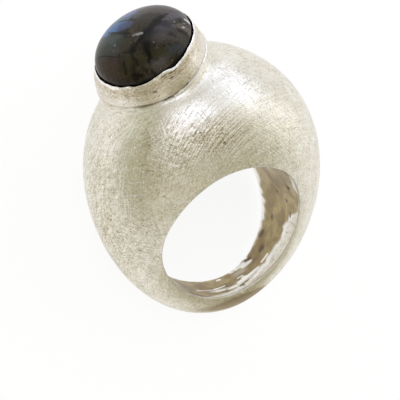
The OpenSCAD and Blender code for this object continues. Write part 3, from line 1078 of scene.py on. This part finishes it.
# Tarnish, painted shade and painted highlights, from the stains and the bands.
patina_at = field("patina")
cloud = w.speckle(millimetres, 1.3, 2.0, 0.6)
grain = w.speckle(millimetres, 0.24, 1.0, 0.6).between(0.3, 0.7)
pore_spot, pore_kind = w.dots(millimetres, 0.8, 0.05, 0.12)
pore = pore_spot * (pore_kind + 0.4 * patina_at).between(0.72, 0.80)
# Tarnish and painted shade from the stains, with random clouds, dim and warm the metal.
tarnish_and_shade = (0.45 + 0.55 * patina_at + 0.7 * (cloud - 0.5)).between(-0.1, 1.1)
depth = field("coarse") * (0.62 + 0.45 * tarnish_and_shade)
share = 0.5 + depth * (1.05 * (lit - 0.5) + 0.6 * (grain - 0.5))
worked = share.blend(tarnish_and_shade.blend(SHADED_TONE, SHADED_TONE_DULL), tarnish_and_shade.blend(LIT_TONE, LIT_TONE_DULL))
worked = (0.5 * dark_cuts * (0.15 + 0.9 * tarnish_and_shade)).blend(worked, CUT_DARK)
# Painted glints along the long cuts.
worked = (0.9 * glinting_cuts).blend(worked, CUT_GLINT)
worked = (0.75 * pore).blend(worked, PORE)
# Brown tarnish, with painted shadow under the foot of the shank, where the stains are strongest.
worked = (0.85 * (patina_at - 0.95).between(0.0, 0.9)).blend(worked, TARNISH_AND_SHADOW)
print("layers on the bare metal: cuts dark and bright, pores, tarnish")

# %% [markdown]
# The cup was burnished after it was brushed, and dirt clings to it in crumbs. The finger hole
# was never brushed at all: two browns of the casting skin drift into each other there, with
# darker blotches, and its edges and raised spots are worn to bare metal.

# %% Colour of the cup and of the finger hole
CUP_TINT, CRUMB, GROOVE_DARK = (0.62, 0.50, 0.40), (0.34, 0.26, 0.15), (0.12, 0.10, 0.07)
BARE_AND_HIGHLIGHT, POCKET_SHADE = (0.98, 0.965, 0.93), (0.02, 0.018, 0.015)
SKIN_LIGHT, SKIN_DARK, SKIN_BLOTCH = (0.43, 0.345, 0.175), (0.285, 0.215, 0.115), (0.25, 0.17, 0.11)
PIT, FLAW = (0.07, 0.05, 0.03), (0.14, 0.11, 0.09)
crumbs = w.speckle(shifted(5), 0.34, 2.0, 0.6).between(0.54, 0.66)
worked = (0.25 * cup_at).blend(worked, CUP_TINT)
worked = (0.55 * crumbs * cup_at * tarnish_and_shade).blend(worked, CRUMB)
# The groove at the foot of the cup is painted darker.
worked = (field("groove") * (0.45 + 0.5 * patch)).blend(worked, GROOVE_DARK)
# The rim is bare burnished metal with a painted highlight.
worked = (field("rim") * (1 - 0.75 * crumbs)).blend(worked, BARE_AND_HIGHLIGHT)
# Painted shade in the pocket behind the stone.
worked = field("pocket").blend(worked, POCKET_SHADE)
stain = w.speckle(millimetres, 2.2, 3.0, 0.55, 0.3).between(0.30, 0.70)
blotch = w.speckle(shifted(23), 0.9, 3.0, 0.6).between(0.52, 0.72)
inside = (0.6 * blotch).blend(stain.blend(SKIN_LIGHT, SKIN_DARK), SKIN_BLOTCH)
in_bore, edge = field("bore"), field("edge")
coloured = in_bore.blend(worked, inside)
# Bare metal along the worn edges and on the raised plates, with a painted highlight over it.
coloured = (edge * 0.85).blend(coloured, BARE_AND_HIGHLIGHT)
coloured = (field("pit") * 0.9).blend(coloured, PIT)
for a, b, wide in FLAWS:
    coloured = (0.8 * w.stroke(millimetres, a, b, wide)).blend(coloured, FLAW)
# Painted glints on cuts, bare spots and plates.
for a, b, wide in PAINTED_GLINTS:
    coloured = (0.85 * w.stroke(millimetres, a, b, wide)).blend(coloured, LIT_TONE)
coloured.feed(metal, "Base Color")
print("nodes so far:", len(silver.node_tree.nodes))

# %% [markdown]
# A scratch is a hollow as well as a dark line. Cutting all of them into the mesh would take
# millions of faces, so a Bump node tilts the light by the same masks that gave the colour,
# and the metal is a little rougher wherever it is dull.

# %% Sheen and relief of the silver
RELIEF = 0.00003    # metres from the bottom of a scratch to its top
outer_sheen = 0.26 + 0.08 * tarnish_and_shade + 0.06 * (1 - lit)
inner_sheen = 0.34 + 0.12 * stain
mixed(mixed(outer_sheen, inner_sheen, in_bore), 0.36, edge * 0.8).feed(metal, "Roughness")
metal.inputs["Metallic"].default_value = 1.0
outer_relief = depth * (lit + 0.35 * grain) + 1.2 * glinting_cuts - 1.0 * dark_cuts - 1.5 * pore
inner_relief = 0.9 * w.speckle(millimetres, 0.5, 2.0, 0.5)
relief = mixed(mixed(outer_relief, inner_relief, in_bore), 0.5, edge * 0.7)
bump = w.node("ShaderNodeBump", {}, {"Strength": 1.0, "Distance": RELIEF, "Height": relief})
bump.feed(metal, "Normal")
skin.data.materials.append(silver)
print("silver finish on", skin.name)

# %% [markdown]
# ## Finish of the stone
# The stone is nearly black-brown and cloudy, with veins. Where its layers face the light it flashes blue near
# one edge. Plain noise gives clouds but never this one stone, so soft strokes lie over it: patches in olive,
# brown, blue and lavender, dark veins, a pale stroke that is a painted highlight, and chips that catch the
# eye.

# %% Marks of the stone, in millimetres from its middle
BLACK, OLIVE = (0.003, 0.003, 0.002), (0.036, 0.031, 0.012)
STONE_MARKS = [  # from, to, half width, softness, strength, colour
    # brown and grey-green patches on the left
    ((-4.0, 1.9), (-3.1, 0.0), 0.8, 0.7, 0.9, (0.05, 0.05, 0.044)),
    ((-5.0, 0.8), (-4.3, -1.7), 0.6, 0.8, 1.1, (0.05, 0.03, 0.018)),
    ((-4.9, -1.8), (-3.9, -3.3), 0.5, 0.8, 1.0, (0.044, 0.034, 0.018)),
    ((-2.9, 2.3), (-2.0, 0.3), 0.65, 0.6, 1.1, (0.058, 0.076, 0.072)),
    ((-2.0, -0.2), (-1.6, -1.4), 0.55, 0.8, 0.8, (0.04, 0.036, 0.022)),
    # blue, teal and lavender flashes, and the cracks between them
    ((-1.8, 3.4), (-0.4, 1.9), 0.72, 0.45, 1.9, (0.07, 0.15, 0.345)),
    ((-0.5, 1.6), (0.1, 1.2), 0.6, 0.6, 1.2, (0.065, 0.08, 0.15)),
    ((0.0, 3.8), (0.8, 2.7), 0.66, 0.5, 1.8, (0.085, 0.15, 0.185)),
    ((1.2, 3.5), (2.1, 2.3), 0.7, 0.45, 2.0, (0.15, 0.17, 0.31)),
    ((1.4, 1.9), (1.7, 1.4), 0.45, 0.7, 1.0, (0.08, 0.082, 0.088)),
    ((-0.2, 3.0), (0.6, 1.8), 0.1, 0.8, 1.1, (0.02, 0.024, 0.03)),
    ((0.6, 1.8), (1.3, 0.5), 0.12, 0.8, 1.1, (0.014, 0.014, 0.014)),
    # grey, brown and olive patches on the right and below
    ((2.6, 2.0), (4.4, -0.1), 0.85, 0.6, 1.2, (0.08, 0.068, 0.062)),
    ((1.6, 0.6), (2.4, -0.4), 0.6, 0.8, 0.8, (0.05, 0.044, 0.034)),
    ((3.4, -1.3), (5.0, -1.5), 0.55, 0.7, 1.1, (0.105, 0.096, 0.108)),
    ((2.6, -1.1), (3.3, -1.0), 0.36, 0.9, 1.3, (0.01, 0.008, 0.008)),
    ((3.8, -0.8), (3.9, -0.9), 0.18, 0.9, 1.0, (0.01, 0.008, 0.008)),
    ((0.9, -3.3), (2.8, -4.1), 0.65, 0.7, 1.2, (0.068, 0.058, 0.05)),
    ((2.2, -2.6), (2.9, -3.2), 0.55, 0.8, 0.9, (0.056, 0.048, 0.04)),
    ((0.4, -5.1), (2.2, -5.1), 0.3, 0.6, 1.0, (0.036, 0.042, 0.04)),
    ((-2.7, -3.0), (-1.5, -3.9), 0.5, 0.9, 1.0, OLIVE), ((-0.3, -4.5), (0.6, -5.0), 0.4, 0.9, 1.0, OLIVE),
    ((3.5, -4.1), (2.9, -4.8), 0.24, 0.7, 1.0, (0.052, 0.049, 0.036)),
    # dark veins, with a pale spot or two between them
    ((1.0, -2.0), (0.0, -3.3), 0.75, 1.0, 0.6, BLACK), ((2.3, -1.4), (1.3, -1.8), 0.32, 0.9, 0.9, BLACK),
    ((2.6, -1.8), (2.9, -2.4), 0.4, 0.9, 0.8, BLACK),
    ((4.0, -3.2), (4.5, -3.9), 0.45, 0.7, 1.1, (0.13, 0.11, 0.09)),
    ((-1.2, -5.2), (-0.4, -5.5), 0.35, 0.7, 1.0, (0.07, 0.062, 0.05)),
    ((1.3, -1.8), (-0.4, -2.1), 0.34, 0.9, 1.0, BLACK), ((-0.4, -2.1), (-1.9, -2.5), 0.34, 0.9, 0.8, BLACK),
    ((-0.4, -3.0), (-0.9, -4.0), 0.34, 0.9, 1.1, BLACK),
    ((-1.9, 2.8), (-1.2, 0.8), 0.1, 0.8, 1.0, (0.014, 0.016, 0.02)),
    ((-1.2, 0.8), (-0.6, -0.4), 0.11, 0.8, 1.0, BLACK), ((-0.6, -3.7), (-1.3, -4.7), 0.24, 1.0, 0.9, BLACK),
    ((-3.4, -2.6), (-3.8, -3.3), 0.2, 1.0, 0.8, BLACK), ((-2.9, -3.7), (-3.5, -4.3), 0.24, 0.9, 0.7, BLACK),
    ((-4.6, 1.8), (-3.4, -1.5), 0.05, 0.9, 0.9, BLACK), ((-2.2, -2.9), (-2.5, -3.9), 0.22, 0.9, 0.8, BLACK),
    ((2.4, -3.6), (2.6, -3.9), 0.24, 0.95, 0.6, BLACK), ((3.6, -3.6), (3.7, -3.9), 0.24, 0.95, 0.6, BLACK),
    # a pale stroke that is a painted highlight, specks, and chips at the right-hand edge
    ((-0.5, -1.05), (-0.1, -1.35), 0.11, 0.8, 1.6, (0.24, 0.22, 0.21)),
    ((-0.12, -1.35), (0.25, -1.62), 0.15, 0.8, 1.8, (0.28, 0.26, 0.25)),
    ((-0.25, -1.7), (-0.9, -1.9), 0.12, 0.9, 0.7, (0.08, 0.072, 0.066)),
    ((-2.63, 0.06), (-2.6, 0.05), 0.06, 0.6, 1.3, (0.3, 0.3, 0.3)),
    ((0.38, -3.54), (0.4, -3.52), 0.05, 0.6, 1.2, (0.22, 0.22, 0.22)),
    ((5.08, -2.15), (5.18, -2.45), 0.13, 0.6, 1.8, (0.62, 0.6, 0.58)),
    ((4.1, -3.3), (4.2, -3.28), 0.07, 0.6, 1.6, (0.45, 0.44, 0.43)),
    ((4.55, -2.75), (4.6, -2.78), 0.06, 0.6, 1.5, (0.4, 0.39, 0.38)),
    ((3.85, -2.35), (3.9, -2.38), 0.05, 0.6, 1.4, (0.35, 0.34, 0.33)),
]
print("marks in the stone:", len(STONE_MARKS))

# %% [markdown]
# The strokes are given in millimetres from the stone's middle, as seen from straight above,
# but the stone lies tilted in the scene. A Mapping node turns each place back. A little noise
# is added to it, so that no patch or vein has the straight edge of a stroke.

# %% A place in the stone, and its clouds
FINE_MARK = 0.2    # a stroke thinner than this wavers only a little
to_stone = (SETTING.T @ LAID.T).tolist()
origin_at = SETTING.T @ (-FOOT - LAID.T @ REST_SHIFT)
stone_place = s_wire.node("ShaderNodeMapping", {}, {
    "Vector": s_wire.node("ShaderNodeTexCoord", {}, {}, OBJECT_PLACE), "Scale": (1 / MM, 1 / MM, 1 / MM),
    "Rotation": tuple(Matrix(to_stone).to_euler("XYZ")), "Location": tuple(origin_at)})
sx, sy, _ = stone_place.xyz()
waver = s_wire.node("ShaderNodeTexNoise", {}, {"Vector": stone_place, "Scale": 1.3, "Detail": 3.0}, 1)
waver = s_wire.vector("MULTIPLY_ADD", waver, (0.7, 0.7, 0), (-0.35, -0.35, 0))
flat = s_wire.join(sx, sy, 0.0)
wavy = s_wire.vector("ADD", flat, waver)
nearly_flat = s_wire.vector("ADD", flat, waver.scaled(0.35))
murk = s_wire.speckle(stone_place, 1.7, 5.0, 0.66, 0.5)
fine_murk = s_wire.speckle(stone_place, 0.4, 3.0, 0.6)
print("the scene's origin, seen from the stone's axis:", np.round(origin_at, 2), "mm")

# %% [markdown]
# All the layers come together here: clouds first, then the strokes one by one, chips, flecks of black, and
# painted shade in a dark band round the girdle. The polish is a plain one, rather smooth, with a weaker gloss
# than glass has, because the real stone shows its surroundings only faintly.

# %% Colour and polish of the stone
CLOUD_DARK, CLOUD_LIGHT = (0.006, 0.005, 0.003), (0.070, 0.056, 0.036)
CHIP, GIRDLE_SHADE = (0.42, 0.40, 0.38), (0.004, 0.004, 0.003)
colour = (0.7 * murk + 0.3 * fine_murk).between(0.36, 0.66).blend(CLOUD_DARK, CLOUD_LIGHT)
for a, b, wide, soft, strength, tint in STONE_MARKS:
    mark = s_wire.stroke(nearly_flat if wide < FINE_MARK else wavy, (*a, 0), (*b, 0), wide, soft)
    mark = mark * strength * (0.45 + 1.1 * (fine_murk if wide < 0.3 else murk))
    colour = mark.clamp().blend(colour, tint)
chip, chip_kind = s_wire.dots(stone_place, 3.2, 0.12, 0.24)
chip = chip * chip_kind.between(0.45, 0.60)
chipped = s_wire.stroke(wavy, (4.0, -2.5, 0), (4.9, -2.7, 0), 0.55, 0.8)
chipped = chipped.larger(chip_kind.between(0.96, 0.98) * 0.5)
colour = (chip * chipped).blend(colour, CHIP)
fleck = s_wire.speckle(stone_place, 0.2, 3.0, 0.6, 0.4).between(0.48, 0.70)
colour = (0.5 * fleck).blend(colour, BLACK)
# Painted shade in a thin dark band round the girdle, next to the rim.
colour = ((sx * sx + sy * sy) ** 0.5).between(5.72, 5.76).blend(colour, GIRDLE_SHADE)
colour.feed(s_shader, "Base Color")
(0.12 + 0.16 * murk).feed(s_shader, "Roughness")
relief = murk + 0.5 * s_wire.speckle(stone_place, 2.5, 1.0)
bump = s_wire.node("ShaderNodeBump", {}, {"Strength": 1.0, "Distance": RELIEF, "Height": relief})
bump.feed(s_shader, "Normal")
s_shader.inputs["IOR"].default_value = 1.45
s_shader.inputs["Specular IOR Level"].default_value = 0.16
print("nodes in the stone's finish:", len(stone_finish.node_tree.nodes))

# %% [markdown]
# ## Pieces and the packed ring
# Each piece takes the place of one packed solid, which is hidden, and rides on a body. Nothing on this ring
# moves, so both ride on the same body.

# %% Join the pieces to the packed ring
for piece, node, slot in ((skin, "ring_body", "silver"), (cabochon, "stone", "gemstone")):
    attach(piece, "root")
    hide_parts(node)
    print(piece.name, "takes the place of", node, "in", slot)

# %% [markdown]
# ## Stage, light and camera
# The ring lies on a plain white floor in an even room. Paper under a lamp would turn grey in
# the ring's shade, so the floor also glows a little by itself, as a light table does. The
# camera looks down on the ring from its front, at the angle of the photograph.

# %% Floor
floor_mesh = bpy.data.meshes.new("floor")
floor_mesh.from_pydata([(-2, -2, 0), (2, -2, 0), (2, 2, 0), (-2, 2, 0)], [], [(0, 1, 2, 3)])
floor = bpy.data.objects.new("floor", floor_mesh)
bpy.context.scene.collection.objects.link(floor)
paper, _, paper_shader = new_finish("white_paper")
paper_shader.inputs["Base Color"].default_value = (0.12, 0.12, 0.12, 1)
paper_shader.inputs["Roughness"].default_value = 0.9
paper_shader.inputs["Emission Color"].default_value = (1, 1, 1, 1)
paper_shader.inputs["Emission Strength"].default_value = 0.89
floor_mesh.materials.append(paper)
print("floor:", len(floor_mesh.polygons), "face")

# %% Camera at the photograph's angle
TURN_ROUND, TURN_UP, ROLL = map(math.radians, (-16.895, 29.136, -21.684))
DISTANCE = 217.5                # from the middle of the finger hole, in millimetres
PHOTO_SIZE, SENSOR = 400, 36    # pixels, and millimetres
FOCAL_PIXELS, MIDDLE_PIXEL = 1897.225, (211.984, 215.919)


def camera_axes(turn_round, turn_up, roll):
    """The camera's right, up and back, seen from the upright ring."""
    back = np.array([math.sin(turn_round) * math.cos(turn_up),
                     -math.cos(turn_round) * math.cos(turn_up), math.sin(turn_up)])
    right = np.array([math.cos(turn_round), math.sin(turn_round), 0.0])
    up = np.cross(back, right)
    c, s = math.cos(roll), math.sin(roll)
    return np.array([c * right + s * up, -s * right + c * up, back])


axes = camera_axes(TURN_ROUND, TURN_UP, ROLL) @ LAID.T
eye = (REST_SHIFT + axes[2] * DISTANCE) * MM
lens = bpy.data.cameras.new("camera")
lens.sensor_width = SENSOR
lens.lens = FOCAL_PIXELS / PHOTO_SIZE * SENSOR
lens.shift_x = 0.5 - MIDDLE_PIXEL[0] / PHOTO_SIZE
lens.shift_y = MIDDLE_PIXEL[1] / PHOTO_SIZE - 0.5
lens.clip_start, lens.clip_end = 0.005, 20
camera = bpy.data.objects.new("camera", lens)
camera.matrix_world = Matrix.Translation(eye) @ Matrix(axes.T.tolist()).to_4x4()
bpy.context.scene.collection.objects.link(camera)
bpy.context.scene.camera = camera
print("camera stands at", np.round(eye / MM), "mm")

# %% [markdown]
# Silver shows the room around it, so the light is the room. A few lamps would show as sharp
# spots on the metal. Instead the world is dim and has soft lobes of light, each round one
# direction: the strongest low in front on the left, one overhead, others to the sides. Their
# directions and colours were fitted to the shades on the real ring.

# %% Light
LIGHTS = [  # direction, colour and strength
    ((-0.44, -0.89, 0.11), (2.32, 2.52, 3.52)),
    ((0.06, -0.14, 0.99), (1.44, 1.50, 1.97)),
    ((-0.80, -0.27, 0.54), (1.21, 1.33, 1.79)),
    ((-0.92, 0.36, 0.16), (0.87, 0.91, 1.03)),
    ((0.43, -0.88, 0.18), (0.42, 0.48, 0.49)),
    ((0.42, 0.75, 0.51), (0.45, 0.44, 0.48)),
    ((-0.73, 0.18, 0.66), (0.36, 0.34, 0.33)),
]
ROOM = (0.45, 0.42, 0.29)
LIGHT_TIGHTNESS = 16.0
world = bpy.data.worlds.new("studio")
world.use_nodes = True
room = Wire(world.node_tree)
direction = room.node("ShaderNodeTexCoord")   # its first output is the direction looked in
glow = room.node("ShaderNodeCombineXYZ", {}, {0: ROOM[0], 1: ROOM[1], 2: ROOM[2]})
for axis, colour in LIGHTS:
    axis = Vector(axis).normalized()
    facing = room.node("ShaderNodeVectorMath", {"operation": "DOT_PRODUCT"}, {0: direction, 1: axis}, 1)
    lobe = room.maths("EXPONENT", (facing - 1.0) * LIGHT_TIGHTNESS)
    glow = room.vector("ADD", glow, room.node(
        "ShaderNodeVectorMath", {"operation": "SCALE"}, {0: colour, 3: lobe}))
world.node_tree.links.new(glow.socket, world.node_tree.nodes["Background"].inputs["Color"])
bpy.context.scene.world = world
bpy.context.scene.view_settings.view_transform = "Standard"
print("lights:", len(LIGHTS))

# %% [markdown]
